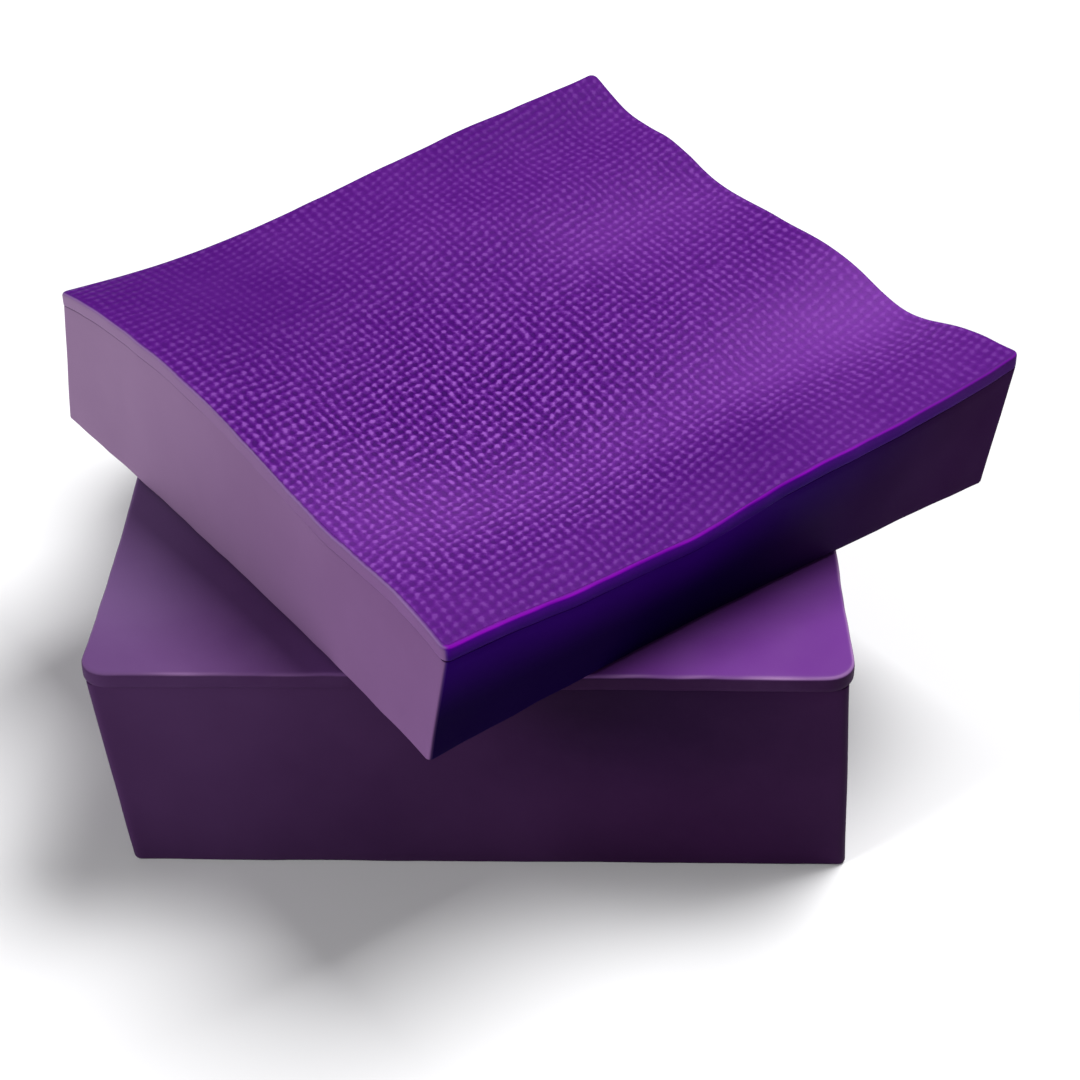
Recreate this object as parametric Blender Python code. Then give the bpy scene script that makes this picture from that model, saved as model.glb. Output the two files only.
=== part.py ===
# Two square silicone soap moulds, one stacked on the other.
#
# Each mould is a poured tray with one wide bar cavity, closed by a loose lid. A rib
# under the lid drops into the mouth of the tray and keeps the lid from sliding off.
# The lower mould is smooth. The upper one is thinner and stands turned on the lower lid,
# and its thin lid is an impression sheet that has settled into a wave with its tray.
#
# Metres, +Z up. The origin is the centre of the lower tray's underside.

import math
from collections import namedtuple

import bmesh
import bpy
from mathutils import Matrix, Vector

# Between any two pieces that touch, and between a rib and the mouth that it drops into
CLEARANCE = 0.0003

# Lower mould. Width and depth are the outside of the tray's rim, along X and Y.
LOWER_WIDTH = 0.1012
LOWER_DEPTH = 0.0988
LOWER_TRAY_HEIGHT = 0.0324
LOWER_LID_THICKNESS = 0.0023
LOWER_WALL = 0.0070
LOWER_FLOOR = 0.0060
LOWER_CORNER_RADIUS = 0.0012
LOWER_LID_CORNER_RADIUS = 0.0040
LOWER_LID_OVERHANG = 0.0008
LOWER_LID_EDGE_RADIUS = 0.0011
LOWER_TAPER = (0.0010, -0.0002)     # how far each side of the base stands in from the rim
LOWER_LEAN = (-0.0021, 0.0)         # how far the soft rim has shifted over the base

# Upper mould, in its own frame before it is turned
UPPER_WIDTH = 0.0962
UPPER_DEPTH = 0.0961
UPPER_TRAY_HEIGHT = 0.0195
UPPER_LID_THICKNESS = 0.0020
UPPER_WALL = 0.0060
UPPER_FLOOR = 0.0045
UPPER_CORNER_RADIUS = 0.0008
UPPER_LID_CORNER_RADIUS = 0.0013
UPPER_LID_OVERHANG = 0.0003
UPPER_LID_EDGE_RADIUS = 0.0008
UPPER_TAPER = (0.0003, 0.0011)
UPPER_LEAN = (0.0019, -0.0012)

# Where the upper mould stands on the lower lid
UPPER_PLACE = (0.0029, -0.0007)
UPPER_TURN = math.radians(38.0)

# Rib under each lid
RIB_WIDTH = 0.0030
RIB_DEPTH = 0.0025

# Cavity of each tray
MOUTH_CORNER_RADIUS = 0.0030
CAVITY_FLOOR_RADIUS = 0.0020
BASE_EDGE_RADIUS = 0.0005

# The soft walls pull in between their corners. Depths at mid side, at the base and the rim.
LOWER_PINCH = {
    "left": (0.0018, 0.0020),
    "right": (0.0014, 0.0016),
    "front": (0.0, 0.0002),
    "back": (0.0008, 0.0010),
}
UPPER_PINCH = {
    "left": (0.0010, 0.0013),
    "right": (0.0010, 0.0011),
    "front": (0.0012, 0.0002),
    "back": (0.0008, 0.0008),
}

# Height of the upper rim and lid over their nominal level, at the corners and along the
# edges. An edge has a sag, and ripples as (height, cycles in half a side, phase).
CORNER_RISE = {
    ("left", "front"): -0.0023,
    ("right", "front"): 0.0011,
    ("left", "back"): -0.0002,
    ("right", "back"): 0.0026,
}
EDGE_WAVE = {
    "left": (0.0038, [(0.0030, 0.33, -1.09), (0.0006, 0.84, 0.37)]),
    "right": (-0.0036, [(0.0010, 0.70, 1.58), (0.0010, 1.40, 3.14), (0.0004, 2.10, -0.16)]),
    "front": (-0.0025, [(0.0006, 0.83, 0.02), (0.0002, 1.83, -0.37)]),
    "back": (-0.0015, [(0.0012, 0.43, 0.26)]),
}

# Cells across each cavity: few where a mould is flat, many where it carries the wave
FLAT_CELLS = 8
WAVE_CELLS = 20
ROUND_SEGMENTS = 3

Mould = namedtuple(
    "Mould",
    "width depth tray_height lid_thickness wall floor corner lid_corner overhang lid_edge"
    " taper lean pinch waved cells",
)

LOWER = Mould(
    LOWER_WIDTH, LOWER_DEPTH, LOWER_TRAY_HEIGHT, LOWER_LID_THICKNESS, LOWER_WALL,
    LOWER_FLOOR, LOWER_CORNER_RADIUS, LOWER_LID_CORNER_RADIUS, LOWER_LID_OVERHANG,
    LOWER_LID_EDGE_RADIUS, LOWER_TAPER, LOWER_LEAN, LOWER_PINCH, False, FLAT_CELLS,
)
UPPER = Mould(
    UPPER_WIDTH, UPPER_DEPTH, UPPER_TRAY_HEIGHT, UPPER_LID_THICKNESS, UPPER_WALL,
    UPPER_FLOOR, UPPER_CORNER_RADIUS, UPPER_LID_CORNER_RADIUS, UPPER_LID_OVERHANG,
    UPPER_LID_EDGE_RADIUS, UPPER_TAPER, UPPER_LEAN, UPPER_PINCH, True, WAVE_CELLS,
)


def clear_scene():
    for obj in list(bpy.data.objects):
        bpy.data.objects.remove(obj, do_unlink=True)


def silicone(name, color, roughness):
    material = bpy.data.materials.new(name)
    material.use_nodes = True
    shader = material.node_tree.nodes["Principled BSDF"]
    shader.inputs["Base Color"].default_value = (*color, 1.0)
    shader.inputs["Roughness"].default_value = roughness
    shader.inputs["Metallic"].default_value = 0.0
    return material


# ---- the settled form that a tray and its lid share ----


def edge_rise(side, along):
    # Height of one edge over the line between its corners, along running from -1 to 1
    sag, ripples = EDGE_WAVE[side]
    ripple = sum(
        height * math.sin(2 * math.pi * cycles * along + phase)
        for height, cycles, phase in ripples
    )
    return (1 - along**2) * sag + (1 - along**4) * ripple


def wave_rise(across, along):
    # A sheet stretched between its four waved edges. Both arguments run from -1 to 1.
    right, back = (1 + across) / 2, (1 + along) / 2
    left, front = 1 - right, 1 - back
    share = {"left": left, "right": right, "front": front, "back": back}
    rise = sum(share[x] * share[y] * height for (x, y), height in CORNER_RISE.items())
    for side in ("left", "right"):
        rise += share[side] * edge_rise(side, along)
    for side in ("front", "back"):
        rise += share[side] * edge_rise(side, across)
    return rise


def settled(mould, point):
    # Moves a point of the straight, square mould to where the soft mould has it
    half = (mould.width / 2, mould.depth / 2)
    across, along = (max(-1.0, min(1.0, point[i] / half[i])) for i in (0, 1))
    up = max(0.0, min(1.0, point.z / mould.tray_height))
    place = []
    for i, sides, run in ((0, ("left", "right"), along), (1, ("front", "back"), across)):
        at_base, at_rim = mould.pinch[sides[point[i] > 0]]
        pinch = (at_base + (at_rim - at_base) * up) * (1 - run**2)
        narrowing = (pinch + mould.taper[i] * (1 - up)) / half[i]
        place.append(point[i] * (1 - narrowing) + mould.lean[i] * up)
    rise = 0.0
    if mould.waved:
        over_floor = (point.z - mould.floor) / (mould.tray_height - mould.floor)
        rise = wave_rise(across, along) * max(0.0, min(1.0, over_floor))
    return Vector((place[0], place[1], point.z + rise))


# ---- modelling steps ----


def sliced_block(size, low, high, lines):
    # A box between two heights, with its faces divided along X and Y at the given lines
    mesh = bmesh.new()
    scale = Matrix.Diagonal((size[0], size[1], high - low, 1.0))
    bmesh.ops.create_cube(
        mesh, size=1.0, matrix=Matrix.Translation((0, 0, (low + high) / 2)) @ scale
    )
    for axis in (0, 1):
        normal = Vector((0, 0, 0))
        normal[axis] = 1.0
        for line in lines[axis]:
            bmesh.ops.bisect_plane(
                mesh,
                geom=mesh.verts[:] + mesh.edges[:] + mesh.faces[:],
                plane_co=normal * line,
                plane_no=normal,
                dist=1e-7,
            )
    return mesh


def cavity_lines(mould, axis):
    # Even lines across the cavity, the cavity's own two sides left out
    half = mouth_half(mould)[axis]
    step = 2 * half / mould.cells
    return [-half + step * i for i in range(1, mould.cells)]


def mouth_half(mould):
    return (mould.width / 2 - mould.wall, mould.depth / 2 - mould.wall)


def level_faces(mesh, up, half):
    # The flat faces that look up (1) or down (-1) inside a rectangle about the origin
    return [
        face
        for face in mesh.faces
        if face.normal.z * up > 0.9
        and abs(face.calc_center_median().x) < half[0]
        and abs(face.calc_center_median().y) < half[1]
    ]


def push_faces(mesh, faces, distance):
    # Extrudes a patch of faces straight up or down, and returns the moved faces
    made = bmesh.ops.extrude_face_region(mesh, geom=faces)["geom"]
    still_there = [face for face in faces if face.is_valid]
    bmesh.ops.delete(mesh, geom=still_there, context="FACES_ONLY")
    points = [item for item in made if isinstance(item, bmesh.types.BMVert)]
    bmesh.ops.translate(mesh, verts=points, vec=(0, 0, distance))
    mesh.normal_update()
    return [item for item in made if isinstance(item, bmesh.types.BMFace)]


def upright_edges(mesh, half):
    # The edges that stand at the four corners of a rectangle about the origin
    def at_corner(vert):
        return all(abs(abs(vert.co[i]) - half[i]) < 1e-6 for i in (0, 1))

    return [
        edge
        for edge in mesh.edges
        if at_corner(edge.verts[0]) and at_corner(edge.verts[1])
        and abs(edge.verts[0].co.z - edge.verts[1].co.z) > 1e-6
    ]


def rim_edges(mesh, height, outside):
    # The edges at one height, outside a rectangle about the origin, where a level face
    # meets an upright one
    found = []
    for edge in mesh.edges:
        if any(abs(vert.co.z - height) > 1e-6 for vert in edge.verts):
            continue
        slopes = sorted(abs(face.normal.z) for face in edge.link_faces)
        if len(slopes) != 2 or slopes[0] > 0.1 or slopes[1] < 0.9:
            continue
        middle = (edge.verts[0].co + edge.verts[1].co) / 2
        is_outside = abs(middle.x) > outside[0] or abs(middle.y) > outside[1]
        if is_outside:
            found.append(edge)
    return found


def round_edges(mesh, edges, radius, segments=ROUND_SEGMENTS):
    bmesh.ops.bevel(
        mesh,
        geom=edges,
        offset=radius,
        offset_type="OFFSET",
        affect="EDGES",
        segments=segments,
        profile=0.5,
        clamp_overlap=True,
        material=-1,
    )
    mesh.normal_update()


def finish_piece(mesh, mould, name, material, collection):
    # Settles the straight piece into its soft form and makes it an object
    for vert in mesh.verts:
        vert.co = settled(mould, vert.co.copy())
    bmesh.ops.recalc_face_normals(mesh, faces=mesh.faces)
    data = bpy.data.meshes.new(name)
    mesh.to_mesh(data)
    mesh.free()
    data.shade_smooth()
    data.set_sharp_from_angle(angle=math.radians(35))
    data.materials.append(material)
    obj = bpy.data.objects.new(name, data)
    collection.objects.link(obj)
    return obj


# ---- the pieces ----


def make_tray(mould, name, material, collection):
    half = (mould.width / 2, mould.depth / 2)
    mouth = mouth_half(mould)
    lines = [cavity_lines(mould, axis) + [-mouth[axis], mouth[axis]] for axis in (0, 1)]
    mesh = sliced_block((mould.width, mould.depth), 0.0, mould.tray_height, lines)
    cavity_depth = mould.tray_height - mould.floor
    push_faces(mesh, level_faces(mesh, 1, mouth), -cavity_depth)
    round_edges(mesh, upright_edges(mesh, half), mould.corner)
    round_edges(mesh, upright_edges(mesh, mouth), MOUTH_CORNER_RADIUS)
    round_edges(mesh, rim_edges(mesh, mould.floor, (0, 0)), CAVITY_FLOOR_RADIUS)
    round_edges(mesh, rim_edges(mesh, 0.0, (0, 0)), BASE_EDGE_RADIUS)
    return finish_piece(mesh, mould, name, material, collection)


def make_lid(mould, name, material, collection):
    size = (mould.width + 2 * mould.overhang, mould.depth + 2 * mould.overhang)
    mouth = mouth_half(mould)
    rib_out = tuple(side - CLEARANCE for side in mouth)
    rib_in = tuple(side - RIB_WIDTH for side in rib_out)
    lines = [
        cavity_lines(mould, axis) + [-rib_out[axis], -rib_in[axis], rib_in[axis], rib_out[axis]]
        for axis in (0, 1)
    ]
    underside = mould.tray_height + CLEARANCE
    top = underside + mould.lid_thickness
    mesh = sliced_block(size, underside, top, lines)
    middle = set(level_faces(mesh, -1, rib_in))
    band = [face for face in level_faces(mesh, -1, rib_out) if face not in middle]
    push_faces(mesh, band, -(RIB_DEPTH + CLEARANCE))
    round_edges(mesh, upright_edges(mesh, (size[0] / 2, size[1] / 2)), mould.lid_corner)
    round_edges(mesh, upright_edges(mesh, rib_out), MOUTH_CORNER_RADIUS - CLEARANCE)
    round_edges(mesh, rim_edges(mesh, top, (0, 0)), mould.lid_edge)
    round_edges(mesh, rim_edges(mesh, underside, rib_out), mould.lid_edge / 2)
    return finish_piece(mesh, mould, name, material, collection)


def main():
    clear_scene()
    moulds = bpy.data.collections.new("stacked_soap_moulds")
    bpy.context.scene.collection.children.link(moulds)

    tray_purple = silicone("smooth purple silicone", (0.075, 0.030, 0.100), 0.42)
    lid_purple = silicone("smooth purple lid silicone", (0.115, 0.035, 0.200), 0.45)
    upper_tray_purple = silicone("smooth purple upper silicone", (0.075, 0.030, 0.100), 0.40)
    pebbled_purple = silicone("pebbled violet silicone", (0.140, 0.022, 0.290), 0.50)

    lower_tray = make_tray(LOWER, "lower_tray", tray_purple, moulds)
    lower_lid = make_lid(LOWER, "lower_lid", lid_purple, moulds)
    upper_tray = make_tray(UPPER, "upper_tray", upper_tray_purple, moulds)
    upper_lid = make_lid(UPPER, "upper_lid", pebbled_purple, moulds)

    # Each lid stands on its tray, and the upper tray stands turned on the lower lid.
    lower_lid.parent = lower_tray
    upper_tray.parent = lower_lid
    upper_lid.parent = upper_tray
    stack_height = LOWER_TRAY_HEIGHT + CLEARANCE + LOWER_LID_THICKNESS + CLEARANCE
    upper_tray.location = (UPPER_PLACE[0], UPPER_PLACE[1], stack_height)
    upper_tray.rotation_euler = (0, 0, UPPER_TURN)


main()
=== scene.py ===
import math

import bmesh
import bpy
from mathutils import Matrix, Vector, noise


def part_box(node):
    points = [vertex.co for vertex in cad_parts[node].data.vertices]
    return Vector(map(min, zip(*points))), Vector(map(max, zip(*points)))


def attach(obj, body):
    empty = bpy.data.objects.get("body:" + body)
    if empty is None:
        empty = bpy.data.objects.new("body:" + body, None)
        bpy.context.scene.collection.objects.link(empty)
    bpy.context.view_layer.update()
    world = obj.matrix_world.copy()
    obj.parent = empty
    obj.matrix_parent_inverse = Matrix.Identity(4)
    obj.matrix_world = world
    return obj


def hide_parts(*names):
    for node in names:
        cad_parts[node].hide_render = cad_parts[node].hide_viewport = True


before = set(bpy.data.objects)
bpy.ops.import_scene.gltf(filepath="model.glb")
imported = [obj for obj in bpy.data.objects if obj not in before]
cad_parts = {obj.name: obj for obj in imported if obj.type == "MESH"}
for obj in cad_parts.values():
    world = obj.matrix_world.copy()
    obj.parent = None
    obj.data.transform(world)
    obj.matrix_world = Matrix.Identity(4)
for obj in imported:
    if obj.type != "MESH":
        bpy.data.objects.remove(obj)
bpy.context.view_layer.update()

# Camera, in the model's own frame
camera = {
    "place": (0.018576, -0.320985, 0.272359),
    "turn": (51.6279, 0.8861, 1.5207),
    "lens": 91.62,
    "sensor": 36.0,
    "clip": (0.01, 20.0),
}

camData = bpy.data.cameras.new("studioCamera")
camData.lens = camera["lens"]
camData.sensor_width = camera["sensor"]
camData.sensor_height = camera["sensor"]
camData.clip_start, camData.clip_end = camera["clip"]
camObj = bpy.data.objects.new("studioCamera", camData)
camObj.location = camera["place"]
camObj.rotation_euler = [math.radians(angle) for angle in camera["turn"]]
bpy.context.scene.collection.objects.link(camObj)
bpy.context.scene.camera = camObj
print("camera set")


def newMaterial(name):
    material = bpy.data.materials.new(name)
    material.use_nodes = True
    tree = material.node_tree
    return material, tree, tree.nodes["Principled BSDF"]


def addNode(tree, kind, place, inputs=None, **settings):
    node = tree.nodes.new(kind)
    node.location = place
    for key, value in settings.items():
        setattr(node, key, value)
    for key, value in (inputs or {}).items():
        node.inputs[key].default_value = value
    return node


def setRamp(node, stops):
    ramp = node.color_ramp
    while len(ramp.elements) < len(stops):
        ramp.elements.new(0.5)
    for element, (position, color) in zip(ramp.elements, stops):
        element.position = position
        element.color = (*color, 1.0)


def mixColors(tree, place, factor, first, second):
    # The factor comes from a socket. Each colour is a socket or three numbers.
    node = addNode(tree, "ShaderNodeMix", place, data_type="RGBA")
    tree.links.new(factor, node.inputs[0])
    for socket, value in ((node.inputs[6], first), (node.inputs[7], second)):
        if hasattr(value, "links"):
            tree.links.new(value, socket)
        else:
            socket.default_value = (*value, 1.0)
    return node.outputs[2]


def objectNoise(tree, place, scale, detail, coordinates, roughness=0.55):
    node = addNode(
        tree, "ShaderNodeTexNoise", place,
        {"Scale": scale, "Detail": detail, "Roughness": roughness},
    )
    tree.links.new(coordinates, node.inputs["Vector"])
    return node.outputs["Fac"]


def remap(tree, place, value, low, high, fromLow=0.3, fromHigh=0.7):
    node = addNode(
        tree, "ShaderNodeMapRange", place,
        {"From Min": fromLow, "From Max": fromHigh, "To Min": low, "To Max": high},
    )
    tree.links.new(value, node.inputs["Value"])
    return node.outputs["Result"]


def combine(tree, place, operation, first, second, third=None):
    node = addNode(tree, "ShaderNodeMath", place, operation=operation)
    for socket, value in zip(node.inputs, (first, second, third)):
        if hasattr(value, "links"):
            tree.links.new(value, socket)
        elif value is not None:
            socket.default_value = value
    return node.outputs[0]


def partsOf(tree, place, name):
    # The three numbers that a vector attribute of the mesh carries
    attribute = addNode(tree, "ShaderNodeAttribute", place, attribute_name=name)
    parts = addNode(tree, "ShaderNodeSeparateXYZ", (place[0] + 200, place[1]))
    tree.links.new(attribute.outputs["Vector"], parts.inputs[0])
    return parts.outputs


def waveOf(tree, place, value):
    # A wave from 0 to 1 that peaks at each whole number
    x, y = place
    turns = combine(tree, place, "MULTIPLY", value, 2 * math.pi)
    wave = combine(tree, (x + 180, y), "COSINE", turns, None)
    return remap(tree, (x + 400, y), wave, 0.0, 1.0, -1.0, 1.0)


def dotPattern(tree, dots, coordinates):
    # Height of the pressed dots, from the rows that the mesh carries, and how deep they are
    rows = partsOf(tree, (-2300, 900), "rows")
    shares = partsOf(tree, (-2300, 1200), "weave")
    across = waveOf(tree, (-1900, 1050), rows[0])
    along = waveOf(tree, (-1900, 800), rows[1])
    mean = combine(tree, (-1300, 1150), "MULTIPLY", across, shares[0])
    mean = combine(tree, (-1120, 1100), "MULTIPLY_ADD", along, shares[1], mean)
    both = combine(tree, (-1120, 950), "MULTIPLY", across, along)
    mean = combine(tree, (-940, 1100), "MULTIPLY", mean, 1 - dots["roundness"])
    height = combine(tree, (-760, 1050), "MULTIPLY_ADD", both, dots["roundness"], mean)
    crumbs = objectNoise(
        tree, (-1500, 700), dots["crumbScale"], dots["crumbDetail"], coordinates
    )
    crumbs = remap(
        tree, (-1300, 700), crumbs, -dots["crumbs"], dots["crumbs"], *dots["crumbRange"]
    )
    height = combine(tree, (-580, 950), "ADD", height, crumbs)
    height = remap(tree, (-400, 950), height, 0.0, 1.0, 0.0, 1.0)  # held between 0 and 1
    return height, shares[2]


silicone = {
    "ior": 1.41,
    "cloudDetail": 3.0,
    "grainDetail": 4.0,
    "smearDetail": 5.0,
    "smearRoughness": 0.65,
    "darkStop": 0.30,           # how much cloud gives the dark and the light colour
    "lightStop": 0.72,
    "dustRange": (0.45, 0.75),  # where dust starts in the smears, and where it is full
}


def siliconeMaterial(name, look):
    material, tree, shader = newMaterial(name)
    link = tree.links.new
    coordinates = addNode(tree, "ShaderNodeTexCoord", (-2600, 0)).outputs["Object"]
    cloud = objectNoise(
        tree, (-1400, 300), look["cloudScale"], silicone["cloudDetail"], coordinates
    )
    fine = objectNoise(tree, (-1400, 0), look["grainScale"], silicone["grainDetail"], coordinates)
    smear = objectNoise(
        tree, (-1400, -300), look["smearScale"], silicone["smearDetail"], coordinates,
        silicone["smearRoughness"],
    )

    ramp = addNode(tree, "ShaderNodeValToRGB", (-1150, 300))
    setRamp(ramp, [(silicone["darkStop"], look["dark"]), (silicone["lightStop"], look["light"])])
    link(cloud, ramp.inputs["Fac"])
    color = ramp.outputs["Color"]
    height = combine(tree, (-700, -300), "MULTIPLY", fine, look["grainDepth"])

    if "dots" in look:
        dots = look["dots"]
        pattern, strength = dotPattern(tree, dots, coordinates)
        # Painted light and shade: the dot tops lighter, the pits between them darker
        dotRamp = addNode(tree, "ShaderNodeValToRGB", (-700, 850))
        setRamp(dotRamp, dots["litAndShadedDotColors"])
        link(pattern, dotRamp.inputs["Fac"])
        color = mixColors(tree, (-450, 750), strength, color, dotRamp.outputs["Color"])
        depth = combine(tree, (-700, 600), "MULTIPLY", strength, dots["depth"])
        height = combine(tree, (-500, -300), "MULTIPLY_ADD", pattern, depth, height)

    # Tones that the mesh carries: each fades a pair of colours over what lies under it
    for row, (attribute, dark, light) in enumerate(look["tones"]):
        level = 1200 + 300 * row
        mask = addNode(tree, "ShaderNodeAttribute", (-900, level + 100), attribute_name=attribute)
        share = remap(tree, (-900, level - 50), cloud, 0.0, 1.0)
        tone = mixColors(tree, (-650, level), share, dark, light)
        color = mixColors(tree, (-250 + 180 * row, 800), mask.outputs["Fac"], color, tone)

    dust = remap(tree, (-850, 150), smear, 0.0, look["dustAmount"], *silicone["dustRange"])
    color = mixColors(tree, (500, 300), dust, color, look["dust"])
    link(color, shader.inputs["Base Color"])
    shader.location = (800, 300)
    tree.nodes["Material Output"].location = (1150, 300)

    link(remap(tree, (-850, -100), smear, *look["roughness"]), shader.inputs["Roughness"])
    bump = addNode(tree, "ShaderNodeBump", (500, -300), {"Strength": 1.0, "Distance": 1.0})
    link(height, bump.inputs["Height"])
    link(bump.outputs["Normal"], shader.inputs["Normal"])
    shader.inputs["Specular IOR Level"].default_value = look["specular"]
    shader.inputs["IOR"].default_value = silicone["ior"]
    return material


# The settled form that a tray and its lid share
lowerMould = {
    "width": 0.1012,
    "depth": 0.0988,
    "trayHeight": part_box("lower_tray")[1][2],
    "wall": 0.0070,
    "floor": 0.0060,
    "corner": 0.0012,
    "taper": (0.0010, -0.0002),
    "lean": (-0.0021, 0.0),
    "pinch": {"left": (0.0018, 0.0020), "right": (0.0014, 0.0016),
              "front": (0.0, 0.0002), "back": (0.0008, 0.0010)},
    "place": (0.0, 0.0, 0.0),
    "turn": 0.0,
    "wobble": (0.00016, 0.012),  # how far the walls wander, over what reach
    "swell": [],
}

upperMould = {
    "width": 0.0962,
    "depth": 0.0961,
    "trayHeight": 0.0195,
    "wall": 0.0060,
    "floor": 0.0045,
    "corner": 0.0008,
    "taper": (0.0003, 0.0011),
    "lean": (0.0019, -0.0012),
    "pinch": {"left": (0.0010, 0.0013), "right": (0.0010, 0.0011),
              "front": (0.0012, 0.0002), "back": (0.0008, 0.0008)},
    "place": (0.0029, -0.0007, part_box("upper_tray")[0][2]),
    "turn": 38.0,
    "wobble": (0.00022, 0.011),
    "cornerRise": {("left", "front"): -0.0023, ("right", "front"): 0.0011,
                   ("left", "back"): -0.0002, ("right", "back"): 0.0026},
    "edgeWave": {
        "left": (0.0038, [(0.0030, 0.33, -1.09), (0.0006, 0.84, 0.37)]),
        "right": (-0.0036, [(0.0010, 0.70, 1.58), (0.0010, 1.40, 3.14), (0.0004, 2.10, -0.16)]),
        "front": (-0.0025, [(0.0006, 0.83, 0.02), (0.0002, 1.83, -0.37)]),
        "back": (-0.0015, [(0.0012, 0.43, 0.26)]),
    },
    # Soft folds of the sheet, each as height, centre and reach in the mould's own plan
    "swell": [(0.00035, (0.2, -0.62), (1.2, 0.16)), (-0.0003, (0.2, -0.28), (1.1, 0.22))],
}

gap = 0.0003     # between a lid and its tray, and between a rib and the mouth
seam = 0.00012   # what is left of the gap where the soft lid has settled on the rim
same = 1e-6      # two places closer than this are one

# The rib under each lid, and how the underside starts again inside it
rib = {
    "width": 0.0030,
    "depth": 0.0025,
    "corner": 0.0027,
    "round": 0.0005,
    "roundSteps": 2,
    "innerCorner": 0.0008,
    "rootCorner": 0.0006,
    "rootInset": 0.0004,
}

# How many steps round each kind of edge of a tray
traySteps = {"corner": 5, "mouth": 8, "floor": 5, "base": 3, "rim": 3}

# Dents and swells of the outer walls
dents = {
    "facing": 0.3,       # how upright a wall has to be
    "climb": 0.4,        # under 1 they run from lid to base
    "fineShare": 0.6,
    "fineReach": 0.35,
    "seed": 3.7,
}


def clampTo(value, low, high):
    return max(low, min(high, value))


def edgeRise(mould, side, along):
    sag, ripples = mould["edgeWave"][side]
    ripple = sum(
        height * math.sin(2 * math.pi * cycles * along + phase) for height, cycles, phase in ripples
    )
    return (1 - along**2) * sag + (1 - along**4) * ripple


def waveRise(mould, across, along):
    right, back = (1 + across) / 2, (1 + along) / 2
    share = {"left": 1 - right, "right": right, "front": 1 - back, "back": back}
    rise = sum(share[x] * share[y] * height for (x, y), height in mould["cornerRise"].items())
    for side in ("left", "right"):
        rise += share[side] * edgeRise(mould, side, along)
    for side in ("front", "back"):
        rise += share[side] * edgeRise(mould, side, across)
    return rise


def swellRise(mould, across, along):
    # Folds of the lid sheet that die out towards its edges
    calm = (1 - across**6) * (1 - along**6)
    return calm * sum(
        height * math.exp(-(((across - x) / reachX) ** 2) - (((along - y) / reachY) ** 2))
        for height, (x, y), (reachX, reachY) in mould["swell"]
    )


def settled(mould, point, isLid):
    # Moves a point of the straight, square mould to where the soft mould has it
    half = (mould["width"] / 2, mould["depth"] / 2)
    across, along = (clampTo(point[i] / half[i], -1.0, 1.0) for i in (0, 1))
    up = clampTo(point.z / mould["trayHeight"], 0.0, 1.0)
    place = []
    for i, sides, run in ((0, ("left", "right"), along), (1, ("front", "back"), across)):
        atBase, atRim = mould["pinch"][sides[point[i] > 0]]
        pinch = (atBase + (atRim - atBase) * up) * (1 - run**2)
        narrowing = (pinch + mould["taper"][i] * (1 - up)) / half[i]
        place.append(point[i] * (1 - narrowing) + mould["lean"][i] * up)
    rise = 0.0
    if "edgeWave" in mould:
        overFloor = (point.z - mould["floor"]) / (mould["trayHeight"] - mould["floor"])
        rise = waveRise(mould, across, along) * clampTo(overFloor, 0.0, 1.0)
    if isLid:
        rise += swellRise(mould, across, along)
    return Vector((place[0], place[1], point.z + rise))


def standing(mould):
    # From a mould's own frame to its place in the stack
    return Matrix.Translation(mould["place"]) @ Matrix.Rotation(math.radians(mould["turn"]), 4, "Z")


def roundedPlan(x, y, half, radius):
    # Draws the square corners of a plan in to rounded ones
    over = (abs(x) - (half[0] - radius), abs(y) - (half[1] - radius))
    if over[0] <= 0 or over[1] <= 0:
        return x, y
    shrink = max(over) / math.hypot(*over)
    return tuple(
        math.copysign(half[i] - radius + over[i] * shrink, value) for i, value in enumerate((x, y))
    )


def growRing(mesh, edges, half, radius, height):
    # Extrudes an open edge loop to the next outline, and returns the new loop
    made = bmesh.ops.extrude_edge_only(mesh, edges=edges)["geom"]
    plan = mesh.verts.layers.float_vector["plan"]
    for vert in (item for item in made if isinstance(item, bmesh.types.BMVert)):
        u, v = vert[plan][0], vert[plan][1]
        vert.co = (*roundedPlan(u * half[0], v * half[1], half, radius), height)
    return [item for item in made if isinstance(item, bmesh.types.BMEdge) and item.is_boundary]


def planGrid(mesh, cells, half, radius, height):
    # A level sheet of square cells whose vertices keep their plan place, from -1 to 1
    made = bmesh.ops.create_grid(mesh, x_segments=cells, y_segments=cells, size=1.0)["verts"]
    plan = mesh.verts.layers.float_vector["plan"]
    for vert in made:
        vert[plan] = vert.co
        vert.co = (*roundedPlan(vert.co.x * half[0], vert.co.y * half[1], half, radius), height)
    return list({edge for vert in made for edge in vert.link_edges if edge.is_boundary})


def quarterTurn(steps):
    # Sine and cosine of the steps of a quarter round, the start left out
    return [
        (math.sin(math.pi / 2 * i / steps), math.cos(math.pi / 2 * i / steps))
        for i in range(1, steps + 1)
    ]


def grown(half, distance):
    return (half[0] + distance, half[1] + distance)


def thinOut(mesh, ring, cells, share):
    # Welds the vertices of a loop in groups, so that what hangs below it has fewer
    plan = mesh.verts.layers.float_vector["plan"]

    def place(vert):
        return tuple(round((vert[plan][i] + 1) / 2 * cells) for i in (0, 1))

    verts = {place(vert): vert for edge in ring for vert in edge.verts}
    targets = {}
    for spot, vert in verts.items():
        kept = tuple(share * round((index + 0.01) / share) for index in spot)
        if kept != spot:
            targets[vert] = verts[kept]
    bmesh.ops.weld_verts(mesh, targetmap=targets)
    remaining = [vert for vert in verts.values() if vert.is_valid]
    return list({edge for vert in remaining for edge in vert.link_edges if edge.is_boundary})


def lidTop(mould, lid):
    return mould["trayHeight"] + gap + lid["thickness"]


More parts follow.
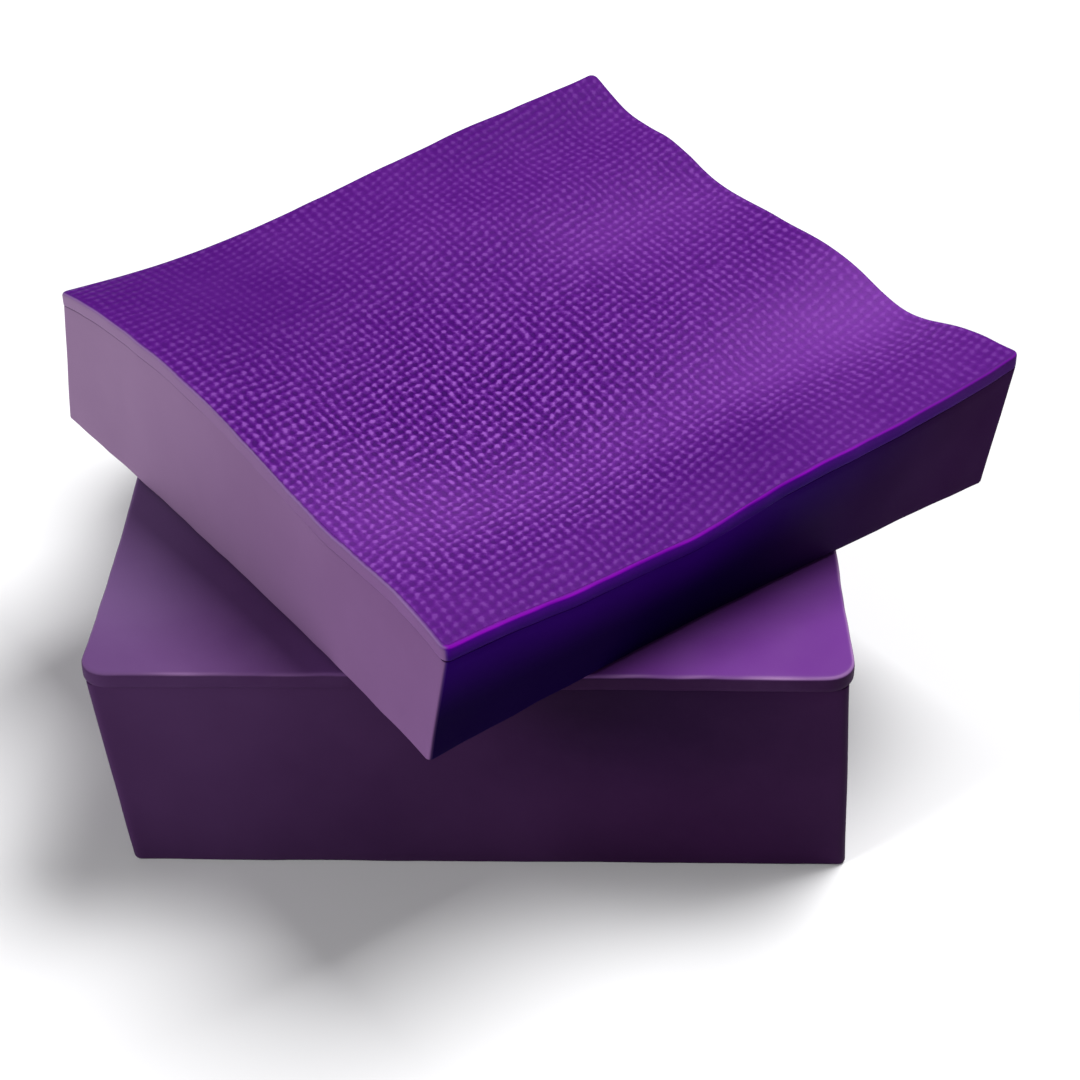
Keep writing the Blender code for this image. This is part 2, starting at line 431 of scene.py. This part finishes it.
def makeLidMesh(mould, lid):
    # One closed sheet: the upper face, its rounded edge, the rib below and the underside
    mesh = bmesh.new()
    mesh.verts.layers.float_vector.new("plan")
    outer = (mould["width"] / 2 + lid["overhang"], mould["depth"] / 2 + lid["overhang"])
    mouth = (mould["width"] / 2 - mould["wall"], mould["depth"] / 2 - mould["wall"])
    below = mould["trayHeight"] + seam
    top = lidTop(mould, lid)
    corner, edge, foot = lid["corner"], lid["edge"], lid["foot"]
    ribOut = grown(mouth, -gap)
    ribIn = grown(ribOut, -rib["width"])
    ribCorner, soft = rib["corner"], rib["round"]
    ribLow = mould["trayHeight"] - rib["depth"]
    root = grown(grown(ribIn, -soft), -rib["rootInset"])
    ribRound = [(0, 1)] + quarterTurn(rib["roundSteps"])

    # Each step of the outline: half sizes, corner radius and height
    steps = [
        (grown(outer, edge * (out - 1)), corner - edge * (1 - out), top - edge * (1 - down))
        for out, down in quarterTurn(lid["roundSteps"])
    ]
    drop = below + foot - top + edge
    steps += [
        (outer, corner, top - edge + drop * i / lid["sideSteps"])
        for i in range(1, lid["sideSteps"] + 1)
    ]
    steps += [
        (grown(outer, foot * (out - 1)), corner - foot * (1 - out), below + foot * (1 - down))
        for down, out in quarterTurn(lid["footSteps"])
    ]
    ring = planGrid(mesh, lid["topCells"], grown(outer, -edge), corner - edge, top)
    for step in steps:
        ring = growRing(mesh, ring, *step)
    ring = growRing(mesh, ring, grown(outer, -2 * foot), corner - 2 * foot, below)
    ring = thinOut(mesh, ring, lid["topCells"], lid["topCells"] // lid["lowCells"])

    steps = [
        (grown(ribOut, soft * (1 - out)), ribCorner + soft * (1 - out), below - soft * (1 - down))
        for out, down in ribRound
    ]
    steps += [
        (grown(ribOut, -soft * (1 - out)), ribCorner - soft * (1 - out), ribLow + soft * (1 - down))
        for down, out in ribRound
    ]
    steps += [
        (grown(ribIn, soft * (1 - out)), rib["innerCorner"], ribLow + soft * (1 - down))
        for out, down in ribRound
    ]
    steps += [
        (grown(ribIn, -soft * (1 - out)), rib["rootCorner"], below - soft * (1 - down))
        for down, out in ribRound
    ]
    steps.append((root, rib["rootCorner"], below))
    for step in steps:
        ring = growRing(mesh, ring, *step)
    underside = planGrid(mesh, lid["lowCells"], root, rib["rootCorner"], below)
    seamVerts = list({vert for edge in ring + underside for vert in edge.verts})
    bmesh.ops.remove_doubles(mesh, verts=seamVerts, dist=same)
    bmesh.ops.recalc_face_normals(mesh, faces=mesh.faces)
    mesh.normal_update()
    return mesh


def cutMesh(mesh, normal, distance, tolerance):
    # Adds an edge loop where a plane meets the mesh
    bmesh.ops.bisect_plane(
        mesh, geom=mesh.verts[:] + mesh.edges[:] + mesh.faces[:],
        plane_co=normal * distance, plane_no=normal, dist=tolerance,
    )


def makeTrayMesh(mould, tray):
    # A finely divided block with the cavity pushed in and its edges rounded
    half = (mould["width"] / 2, mould["depth"] / 2)
    mouth = (half[0] - mould["wall"], half[1] - mould["wall"])
    height = mould["trayHeight"]
    mesh = bmesh.new()
    scale = Matrix.Diagonal((mould["width"], mould["depth"], height, 1.0))
    bmesh.ops.create_cube(mesh, size=1.0, matrix=Matrix.Translation((0, 0, height / 2)) @ scale)
    cuts = []
    for axis in (0, 1):
        step = 2 * mouth[axis] / tray["cells"]
        cuts += [(axis, -mouth[axis] + step * i) for i in range(tray["cells"] + 1)]
        # The rim is divided too, so that it follows the wave as closely as the lid does
        for i in range(1, tray["rimCells"]):
            line = mouth[axis] + mould["wall"] * i / tray["rimCells"]
            cuts += [(axis, -line), (axis, line)]
    for axis, line in cuts:
        cutMesh(mesh, Vector((axis == 0, axis == 1, 0)), line, 1e-7)
    inside = [
        face for face in mesh.faces
        if face.normal.z > 0.9
        and abs(face.calc_center_median().x) < mouth[0]
        and abs(face.calc_center_median().y) < mouth[1]
    ]
    made = bmesh.ops.extrude_face_region(mesh, geom=inside)["geom"]
    bmesh.ops.delete(mesh, geom=[face for face in inside if face.is_valid], context="FACES_ONLY")
    points = [item for item in made if isinstance(item, bmesh.types.BMVert)]
    bmesh.ops.translate(mesh, verts=points, vec=(0, 0, mould["floor"] - height))
    mesh.normal_update()

    def uprightAt(corner):
        # The upright edges at the four corners of a plan
        return [
            edge for edge in mesh.edges
            if all(abs(abs(vert.co[i]) - corner[i]) < same for vert in edge.verts for i in (0, 1))
            and abs(edge.verts[0].co.z - edge.verts[1].co.z) > same
        ]

    def foldsAt(level, reachOut):
        # The edges between wall and level face at one height, outside the mouth or round it
        found = []
        for edge in mesh.edges:
            if len(edge.link_faces) != 2 or any(abs(v.co.z - level) > same for v in edge.verts):
                continue
            slopes = sorted(abs(face.normal.z) for face in edge.link_faces)
            middle = (edge.verts[0].co + edge.verts[1].co) / 2
            outside = any(abs(middle[i]) > mouth[i] + 10 * same for i in (0, 1))
            if slopes[0] < 0.1 and slopes[1] > 0.9 and outside == reachOut:
                found.append(edge)
        return found

    def roundOff(edges, radius, segments):
        bmesh.ops.bevel(
            mesh, geom=edges, offset=radius, offset_type="OFFSET", affect="EDGES",
            segments=segments, profile=0.5, clamp_overlap=True, material=-1,
        )
        mesh.normal_update()

    roundOff(uprightAt(half), mould["corner"], traySteps["corner"])
    roundOff(uprightAt(mouth), tray["mouthCorner"], traySteps["mouth"])
    roundOff(foldsAt(mould["floor"], False), tray["floorRound"], traySteps["floor"])
    roundOff(foldsAt(0.0, True), tray["baseRound"], traySteps["base"])
    roundOff(foldsAt(height, True), tray["rimRound"], traySteps["rim"])
    roundOff(foldsAt(height, False), tray["rimRound"], traySteps["rim"])
    for i in range(1, tray["levels"]):
        cutMesh(mesh, Vector((0, 0, 1)), height * i / tray["levels"], same)
    bmesh.ops.recalc_face_normals(mesh, faces=mesh.faces)
    mesh.normal_update()
    return mesh


def paintTone(mesh, name, amount):
    # Writes how much of a tone each vertex takes, from its place and the way it faces
    layer = mesh.verts.layers.float.new(name)
    for vert in mesh.verts:
        vert[layer] = clampTo(amount(vert.co, vert.normal), 0.0, 1.0)


def rampUp(value, low, high):
    # 0 below the first value, 1 above the second, smooth between them
    share = clampTo((value - low) / (high - low), 0.0, 1.0)
    return share * share * (3 - 2 * share)


def bell(value, center, reach):
    return math.exp(-(((value - center) / reach) ** 2))


def finishPiece(mesh, mould, name, material, body, node):
    bmesh.ops.transform(mesh, matrix=standing(mould), verts=mesh.verts)
    data = bpy.data.meshes.new(name)
    mesh.to_mesh(data)
    mesh.free()
    data.shade_smooth()
    data.materials.append(material)
    piece = bpy.data.objects.new(name, data)
    bpy.context.scene.collection.objects.link(piece)
    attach(piece, body)
    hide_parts(node)
    print(name, "has", len(data.polygons), "faces")


def settleAll(mesh, mould, isLid):
    for vert in mesh.verts:
        vert.co = settled(mould, vert.co.copy(), isLid)


def wobbleWalls(mesh, mould):
    # Outer walls that were cast in a soft former: dents and swells that run from lid to base
    amount, reach = mould["wobble"]
    seed = Vector((mould["turn"], 2.0 * mould["turn"], dents["seed"]))
    for vert in mesh.verts:
        flat = Vector((vert.normal.x, vert.normal.y, 0.0))
        inward = min(mould["width"] / 2 - abs(vert.co.x), mould["depth"] / 2 - abs(vert.co.y))
        if flat.length > dents["facing"] and inward < mould["wall"] / 2:
            spot = Vector((vert.co.x, vert.co.y, vert.co.z * dents["climb"]))
            broad = noise.noise(spot / reach + seed)
            fine = noise.noise(spot / (reach * dents["fineReach"]) + seed)
            vert.co += flat * (broad + dents["fineShare"] * fine) * amount


lowerTray = {
    "cells": 44,
    "rimCells": 4,
    "levels": 12,
    "mouthCorner": 0.0030,
    "floorRound": 0.0020,
    "baseRound": 0.0005,
    "rimRound": 0.0002,
    "leftFade": (-0.030, 0.040),   # how far to the left the painted light starts, and is full
    "shade": {"share": 0.8, "levels": (0.008, 0.026), "center": 0.022, "reach": 0.020},
    "look": {
        "dark": (0.024, 0.0052, 0.034), "light": (0.033, 0.0078, 0.045),
        "tones": [
            ("leftPaintedShading", (0.045, 0.0155, 0.063), (0.058, 0.022, 0.080)),
            ("shadeTone", (0.012, 0.002, 0.022), (0.016, 0.003, 0.028)),
        ],
        "dust": (0.10, 0.05, 0.12), "dustAmount": 0.05,
        "cloudScale": 38.0, "grainScale": 1800.0, "smearScale": 90.0,
        "roughness": (0.50, 0.66), "grainDepth": 0.00002,
        "specular": 0.05,
    },
}

mesh = makeTrayMesh(lowerMould, lowerTray)
wobbleWalls(mesh, lowerMould)
settleAll(mesh, lowerMould, False)
mesh.normal_update()
# Painted light: the tray lighter towards its left, where the light falls
paintTone(mesh, "leftPaintedShading", lambda spot, facing: rampUp(-spot.x, *lowerTray["leftFade"]))
shade = lowerTray["shade"]
paintTone(
    mesh, "shadeTone",
    lambda spot, facing: shade["share"] * (facing.y < -0.5) * rampUp(spot.z, *shade["levels"])
    * bell(spot.x, shade["center"], shade["reach"]),
)
finishPiece(
    mesh, lowerMould, "lowerTrayBody", siliconeMaterial("aubergineSilicone", lowerTray["look"]),
    "lower_tray", "lower_tray",
)
print("lower tray made")

lowerLid = {
    "thickness": 0.0023,
    "overhang": 0.0008,
    "corner": 0.0040,
    "edge": 0.0007,
    "foot": 0.0002,
    "topCells": 120,
    "lowCells": 60,
    "roundSteps": 5,
    "sideSteps": 3,
    "footSteps": 2,
    "leftFade": (-0.015, 0.030),
    "farFade": {"left": (0.032, 0.049), "least": 0.35, "back": (-0.048, -0.032)},
    "sideFacing": (0.25, 0.65),
    "sideLeftFade": (-0.010, 0.045),
    "edgeLight": {
        "facing": (0.68, 0.17),
        "least": 0.15,
        "right": (-0.008, 0.030),
        "glint": (0.35, -0.037, 0.007),   # how strong, where and how wide
        "patchLeast": 0.35,
        "patchReach": 0.006,
        "patchSeed": 2.2,
        "patchContrast": 1.3,
    },
    "look": {
        "dark": (0.112, 0.022, 0.196), "light": (0.138, 0.032, 0.236),
        "tones": [
            ("leftPaintedShading", (0.078, 0.030, 0.114), (0.100, 0.040, 0.142)),
            ("paintedFarLeftLight", (0.118, 0.060, 0.165), (0.135, 0.072, 0.185)),
            ("paintedSideShade", (0.023, 0.005, 0.033), (0.031, 0.007, 0.043)),
            ("paintedSideLeftLight", (0.044, 0.015, 0.062), (0.056, 0.021, 0.078)),
            ("paintedEdgeHighlight", (0.36, 0.19, 0.42), (0.48, 0.28, 0.54)),
        ],
        "dust": (0.22, 0.13, 0.29), "dustAmount": 0.06,
        "cloudScale": 30.0, "grainScale": 1600.0, "smearScale": 80.0,
        "roughness": (0.46, 0.62), "grainDepth": 0.00002,
        "specular": 0.05,
    },
}


def lowerSide(facing):
    return 1 - rampUp(facing.z, *lowerLid["sideFacing"])


# Painted light: the far-left edge of the lid lighter and greyer, out of the cast shadow, less so at
# the front
def farShare(spot):
    far = lowerLid["farFade"]
    return rampUp(-spot.x, *far["left"]) * (
        far["least"] + (1 - far["least"]) * rampUp(spot.y, *far["back"])
    )


def edgeShare(spot, facing):
    # Painted highlight along the rounded edge: strong to the right, with a painted glint on the
    # left, in patches
    light = lowerLid["edgeLight"]
    reach, least = light["patchReach"], light["patchLeast"]
    glint, center, width = light["glint"]
    run = light["least"] + (1 - light["least"]) * rampUp(spot.x, *light["right"])
    patch = noise.noise(Vector((spot.x / reach, spot.y / reach, light["patchSeed"])))
    patch = clampTo(0.5 + light["patchContrast"] * patch, 0.0, 1.0)
    return (
        bell(facing.z, *light["facing"])
        * (run + glint * bell(spot.x, center, width))
        * (least + (1 - least) * patch)
    )


mesh = makeLidMesh(lowerMould, lowerLid)
wobbleWalls(mesh, lowerMould)
settleAll(mesh, lowerMould, True)
mesh.normal_update()
# Painted shade: the lid darker and greyer towards its left, where the upper mould casts its shadow
paintTone(mesh, "leftPaintedShading", lambda spot, facing: rampUp(-spot.x, *lowerLid["leftFade"]))
paintTone(mesh, "paintedFarLeftLight", lambda spot, facing: farShare(spot))
# Painted shade: the lid's side walls as dark as the tray below
paintTone(mesh, "paintedSideShade", lambda spot, facing: lowerSide(facing))
# Painted light: the lid's side walls less dark towards the left, where the light falls
paintTone(
    mesh, "paintedSideLeftLight",
    lambda spot, facing: lowerSide(facing) * rampUp(-spot.x, *lowerLid["sideLeftFade"]),
)
paintTone(mesh, "paintedEdgeHighlight", edgeShare)
finishPiece(
    mesh, lowerMould, "lowerLidSheet", siliconeMaterial("violetLidSilicone", lowerLid["look"]),
    "lower_lid", "lower_lid",
)
print("lower lid made")

upperTray = {
    "cells": 44,
    "rimCells": 4,
    "levels": 10,
    "mouthCorner": 0.0030,
    "floorRound": 0.0020,
    "baseRound": 0.0005,
    "rimRound": 0.00018,
    "outerFront": 0.040,  # outer walls stand further out than this
    "outerLeft": 0.040,
    "frontFade": (-0.045, 0.005),
    "wallTopLight": {"share": 1.1, "left": (-0.040, 0.010), "levels": (0.0065, 0.0215)},
    "look": {
        "dark": (0.027, 0.0055, 0.042), "light": (0.037, 0.009, 0.060),
        "tones": [
            ("paintedFrontShade", (0.0040, 0.0, 0.026), (0.0062, 0.0, 0.034)),
            ("paintedWallTopLight", (0.020, 0.0, 0.105), (0.026, 0.0, 0.125)),
            ("leftPaintedShading", (0.180, 0.088, 0.215), (0.200, 0.100, 0.240)),
            ("paintedBackLeftLight", (0.240, 0.150, 0.262), (0.262, 0.168, 0.285)),
        ],
        "dust": (0.05, 0.02, 0.08), "dustAmount": 0.02,
        "cloudScale": 40.0, "grainScale": 1800.0, "smearScale": 70.0,
        "roughness": (0.48, 0.62), "grainDepth": 0.00002,
        "specular": 0.01,
    },
}

# What the walls of the upper tray and its lid share
upperWalls = {
    "facing": (0.5, 0.8),          # how squarely a face has to look to a side
    "backLeftLightFade": (-0.050, 0.055),  # the painted light on the left wall grows towards the back
}


def onFront(piece, spot, facing):
    return rampUp(-facing.y, *upperWalls["facing"]) * (spot.y < -piece["outerFront"])


def onLeft(piece, spot, facing):
    return rampUp(-facing.x, *upperWalls["facing"]) * (spot.x < -piece["outerLeft"])


# Painted light: the outer left walls pale, where the light from the left falls on them
def paintLeftWall(mesh, piece):
    paintTone(mesh, "leftPaintedShading", lambda spot, facing: onLeft(piece, spot, facing))
    # Painted light: more of it on the left walls towards the back
    paintTone(
        mesh, "paintedBackLeftLight",
        lambda spot, facing: onLeft(piece, spot, facing)
        * rampUp(spot.y, *upperWalls["backLeftLightFade"]),
    )


mesh = makeTrayMesh(upperMould, upperTray)
# Painted shade: the outer front wall near black, darkest towards its left end
paintTone(
    mesh, "paintedFrontShade",
    lambda spot, facing: onFront(upperTray, spot, facing)
    * rampUp(-spot.x, *upperTray["frontFade"]),
)
# Painted light: a lighter violet band along the top of the dark front wall
wallTopLight = upperTray["wallTopLight"]
paintTone(
    mesh, "paintedWallTopLight",
    lambda spot, facing: onFront(upperTray, spot, facing) * rampUp(-spot.x, *wallTopLight["left"])
    * rampUp(spot.z, *wallTopLight["levels"]) * wallTopLight["share"],
)
paintLeftWall(mesh, upperTray)
wobbleWalls(mesh, upperMould)
settleAll(mesh, upperMould, False)
mesh.normal_update()
finishPiece(
    mesh, upperMould, "upperTrayBody", siliconeMaterial("darkSilicone", upperTray["look"]),
    "upper_tray", "upper_tray",
)
print("upper tray made")

upperLid = {
    "thickness": 0.0020,
    "overhang": 0.00015,
    "corner": 0.0013,
    "edge": 0.00055,
    "foot": 0.00015,
    "topCells": 280,
    "lowCells": 56,
    "roundSteps": 4,
    "sideSteps": 3,
    "footSteps": 2,
    "dotHeight": 0.00030,
    "rowPitch": 0.00148,
    "rowLean": -0.23,  # how far the second rows run off square
    # How far the rows bend, over what reach
    "bends": [(0.0013, 0.030), (0.00035, 0.0050), (0.00022, 0.0016)],
    "bendSeeds": (1.3, 7.9),
    "streak": {"share": 0.20, "reach": 0.006, "contrast": 1.6, "seed": 4.4},
    # Where the dots are deep. Plan places run from -1 to 1.
    "border": (-0.005, 0.022),
    "leastDepth": 0.40,
    "deepest": ((-0.45, -0.30), (0.75, 0.60)),
    "calmFront": (0.45, (0.70, 0.92)),
    "calmBack": (0.25, (0.3, 0.7)),
    # Patches of painted light and painted shade over the sheet: how strong, where, over what reach
    "lightPatches": [
        (0.25, (-1.0, -0.42), (0.6, 0.28)), (0.46, (0.9, -0.46), (0.55, 0.22)),
        (0.20, (-0.1, -0.54), (0.7, 0.15)), (0.18, (0.6, 0.27), (0.4, 0.2)),
    ],
    "shadePatches": [
        (0.38, (0.15, -0.82), (0.3, 0.13)), (0.55, (-0.6, 0.6), (0.35, 0.35)),
        (0.4, (-0.9, 0.95), (0.4, 0.3)), (0.35, (0.5, 1.0), (0.8, 0.3)),
    ],
    "outerFront": 0.045,
    "outerLeft": 0.042,
    "outerEdge": 0.040,
    "frontFade": (-0.060, 0.0),
    "fadeDrop": (0.0004, 0.0020),
    "sideFacing": (0.30, 0.70),
    "edgeLight": {"facing": (0.74, 0.16), "side": (0.25, 0.5), "least": 0.45,
                  "left": (-0.045, -0.010)},
    "rimLight": {"facing": (0.75, 0.2), "side": (0.25, 0.5)},
    "look": {
        "dark": (0.075, 0.0075, 0.164), "light": (0.092, 0.0105, 0.188),
        "dots": {
            # Painted highlight on the dot tops, painted shade in the pits
            "litAndShadedDotColors": [
                (0.05, (0.025, 0.0, 0.081)), (0.25, (0.050, 0.001, 0.128)),
                (0.45, (0.077, 0.0068, 0.174)), (0.65, (0.124, 0.022, 0.243)),
                (0.94, (0.250, 0.078, 0.412)),
            ],
            "roundness": 0.20,  # 0 gives dots and pits alike, 1 round dots on a flat sheet
            "crumbs": 0.34, "crumbScale": 1300.0, "crumbDetail": 2.0,
            "crumbRange": (0.25, 0.75), "depth": 0.00022,
        },
        "tones": [
            ("paintedLightPatch", (0.200, 0.045, 0.350), (0.240, 0.060, 0.400)),
            ("paintedShadePatch", (0.050, 0.003, 0.125), (0.060, 0.004, 0.145)),
            ("paintedSideShade", (0.050, 0.006, 0.110), (0.062, 0.009, 0.130)),
            ("paintedFrontShade", (0.054, 0.0, 0.205), (0.066, 0.0, 0.240)),
            ("paintedFrontDropShade", (0.020, 0.0, 0.105), (0.026, 0.0, 0.125)),
            ("leftPaintedShading", (0.182, 0.088, 0.222), (0.202, 0.100, 0.247)),
            ("paintedBackLeftLight", (0.240, 0.148, 0.268), (0.262, 0.166, 0.291)),
            ("paintedEdgeHighlight", (0.220, 0.001, 0.400), (0.260, 0.004, 0.450)),
            ("paintedRimHighlight", (0.190, 0.105, 0.260), (0.240, 0.140, 0.310)),
        ],
        "dust": (0.30, 0.10, 0.44), "dustAmount": 0.03,
        "cloudScale": 34.0, "grainScale": 1500.0, "smearScale": 70.0,
        "roughness": (0.46, 0.60), "grainDepth": 0.00002,
        "specular": 0.03,
    },
}


def rowPlace(lid, x, y):
    # Counts the rows of dots to a point, both ways. The rows bend with the soft sheet.
    bentX, bentY = x, y + x * lid["rowLean"]
    seedX, seedY = lid["bendSeeds"]
    for bend, reach in lid["bends"]:
        bentX += bend * noise.noise(Vector((x / reach, y / reach, seedX)))
        bentY += bend * noise.noise(Vector((x / reach, y / reach, seedY)))
    return bentX / lid["rowPitch"], bentY / lid["rowPitch"]


def rowShares(lid, x, y):
    # How much each set of rows counts: the dots run together into short streaks in places
    streak = lid["streak"]
    value = noise.noise(Vector((x / streak["reach"], y / streak["reach"], streak["seed"])))
    lean = streak["share"] * clampTo(value * streak["contrast"], -1.0, 1.0)
    return 0.5 + lean, 0.5 - lean


def hump(u, v, center, reach):
    return math.exp(-(((u - center[0]) / reach[0]) ** 2) - (((v - center[1]) / reach[1]) ** 2))


def patches(humps, u, v):
    total = sum(amount * hump(u, v, center, reach) for amount, center, reach in humps)
    return clampTo(total, 0.0, 1.0)


def dotStrength(lid, u, v):
    # Deep in the left and middle of the sheet, shallow towards its edges
    border = rampUp(1 - abs(u), *lid["border"]) * rampUp(1 - abs(v), *lid["border"])
    deep = lid["leastDepth"] + (1 - lid["leastDepth"]) * hump(u, v, *lid["deepest"])
    (front, frontFade), (back, backFade) = lid["calmFront"], lid["calmBack"]
    calm = 1 - front * rampUp(-v, *frontFade) - back * rampUp(v, *backFade)
    return border * deep * calm


# Painted shade: the lid's outer front side deep blue-violet, more so towards its left end
def frontShare(spot, facing):
    return onFront(upperLid, spot, facing) * rampUp(-spot.x, *upperLid["frontFade"])


# Painted highlight: a magenta line along the lid's front edge, stronger towards its left end
def frontEdgeShare(spot, facing):
    light = upperLid["edgeLight"]
    run = light["least"] + (1 - light["least"]) * rampUp(-spot.x, *light["left"])
    squarely = bell(facing.z, *light["facing"]) * rampUp(-facing.y, *light["side"])
    return squarely * (spot.y < -upperLid["outerEdge"]) * run


# Painted highlight: a light line along the lid's left edge
def leftEdgeShare(spot, facing):
    light = upperLid["rimLight"]
    squarely = bell(facing.z, *light["facing"]) * rampUp(-facing.x, *light["side"])
    return squarely * (spot.x < -upperLid["outerEdge"])


mesh = makeLidMesh(upperMould, upperLid)
wobbleWalls(mesh, upperMould)
top = lidTop(upperMould, upperLid)
roundness = upperLid["look"]["dots"]["roundness"]
rows = mesh.verts.layers.float_vector.new("rows")
weave = mesh.verts.layers.float_vector.new("weave")
lift = mesh.verts.layers.float.new("paintedLightPatch")
deep = mesh.verts.layers.float.new("paintedShadePatch")
fade = mesh.verts.layers.float.new("paintedFrontDropShade")
for vert in mesh.verts:
    x, y, z = vert.co
    u, v = x / (upperMould["width"] / 2), y / (upperMould["depth"] / 2)
    rise = 0.0
    if z > top - same:
        alongX, alongY = rowPlace(upperLid, x, y)
        shareX, shareY = rowShares(upperLid, x, y)
        strength = dotStrength(upperLid, u, v)
        vert[rows] = (alongX, alongY, 0.0)
        vert[weave] = (shareX, shareY, strength)
        acrossWave = 0.5 + 0.5 * math.cos(2 * math.pi * alongX)
        alongWave = 0.5 + 0.5 * math.cos(2 * math.pi * alongY)
        height = roundness * acrossWave * alongWave
        height += (1 - roundness) * (shareX * acrossWave + shareY * alongWave)
        rise = height * strength * upperLid["dotHeight"]
    # Painted light and painted shade in broad patches of the sheet
    vert[lift] = patches(upperLid["lightPatches"], u, v)
    vert[deep] = patches(upperLid["shadePatches"], u, v)
    # Painted shade: the lid's front side darker below its top edge
    vert[fade] = frontShare(vert.co, vert.normal) * rampUp(top - z, *upperLid["fadeDrop"])
    vert.co = settled(upperMould, Vector((x, y, z)), True) + Vector((0, 0, rise))
mesh.normal_update()
# Painted shade: the lid's side walls darker than its top
paintTone(mesh, "paintedSideShade", lambda spot, facing: 1 - rampUp(facing.z, *upperLid["sideFacing"]))
paintTone(mesh, "paintedFrontShade", frontShare)
paintLeftWall(mesh, upperLid)
paintTone(mesh, "paintedEdgeHighlight", frontEdgeShare)
paintTone(mesh, "paintedRimHighlight", leftEdgeShare)
finishPiece(
    mesh, upperMould, "upperLidSheet", siliconeMaterial("pebbledVioletSilicone", upperLid["look"]),
    "upper_lid", "upper_lid",
)
print("upper lid made")

studio = {
    "floorSize": 6.0,
    "floorColor": (0.80, 0.80, 0.81),
    "floorRoughness": 0.9,
    "floorSpecular": 0.1,
    "worldColor": (1.0, 1.0, 1.0),
    "worldStrength": 0.15,
    # Place, aim, width, height and power of each
    "lights": {
        "topSoftbox": ((0.40, 0.33, 1.05), (0, 0, 0.04), 0.6, 0.6, 18.0),
        "keySoftbox": ((-0.88, -0.60, 0.50), (0, 0, 0.04), 0.35, 0.35, 7.5),
    },
}

floorMesh = bmesh.new()
bmesh.ops.create_grid(floorMesh, x_segments=1, y_segments=1, size=studio["floorSize"] / 2)
floorData = bpy.data.meshes.new("studioFloor")
floorMesh.to_mesh(floorData)
floorMesh.free()
floorObj = bpy.data.objects.new("studioFloor", floorData)
floorMaterial, _, floorShader = newMaterial("palePaper")
floorShader.inputs["Base Color"].default_value = (*studio["floorColor"], 1.0)
floorShader.inputs["Roughness"].default_value = studio["floorRoughness"]
floorShader.inputs["Specular IOR Level"].default_value = studio["floorSpecular"]
floorData.materials.append(floorMaterial)
bpy.context.scene.collection.objects.link(floorObj)

for name, (place, aim, width, height, power) in studio["lights"].items():
    lightData = bpy.data.lights.new(name, "AREA")
    lightData.shape = "RECTANGLE"
    lightData.size = width
    lightData.size_y = height
    lightData.energy = power
    lightObj = bpy.data.objects.new(name, lightData)
    lightObj.location = place
    direction = Vector(aim) - Vector(place)
    lightObj.rotation_euler = direction.to_track_quat("-Z", "Y").to_euler()
    bpy.context.scene.collection.objects.link(lightObj)

world = bpy.data.worlds.new("studioWorld")
world.use_nodes = True
background = world.node_tree.nodes["Background"]
background.inputs["Color"].default_value = (*studio["worldColor"], 1.0)
background.inputs["Strength"].default_value = studio["worldStrength"]
bpy.context.scene.world = world
bpy.context.scene.view_settings.view_transform = "Standard"
print("studio set")
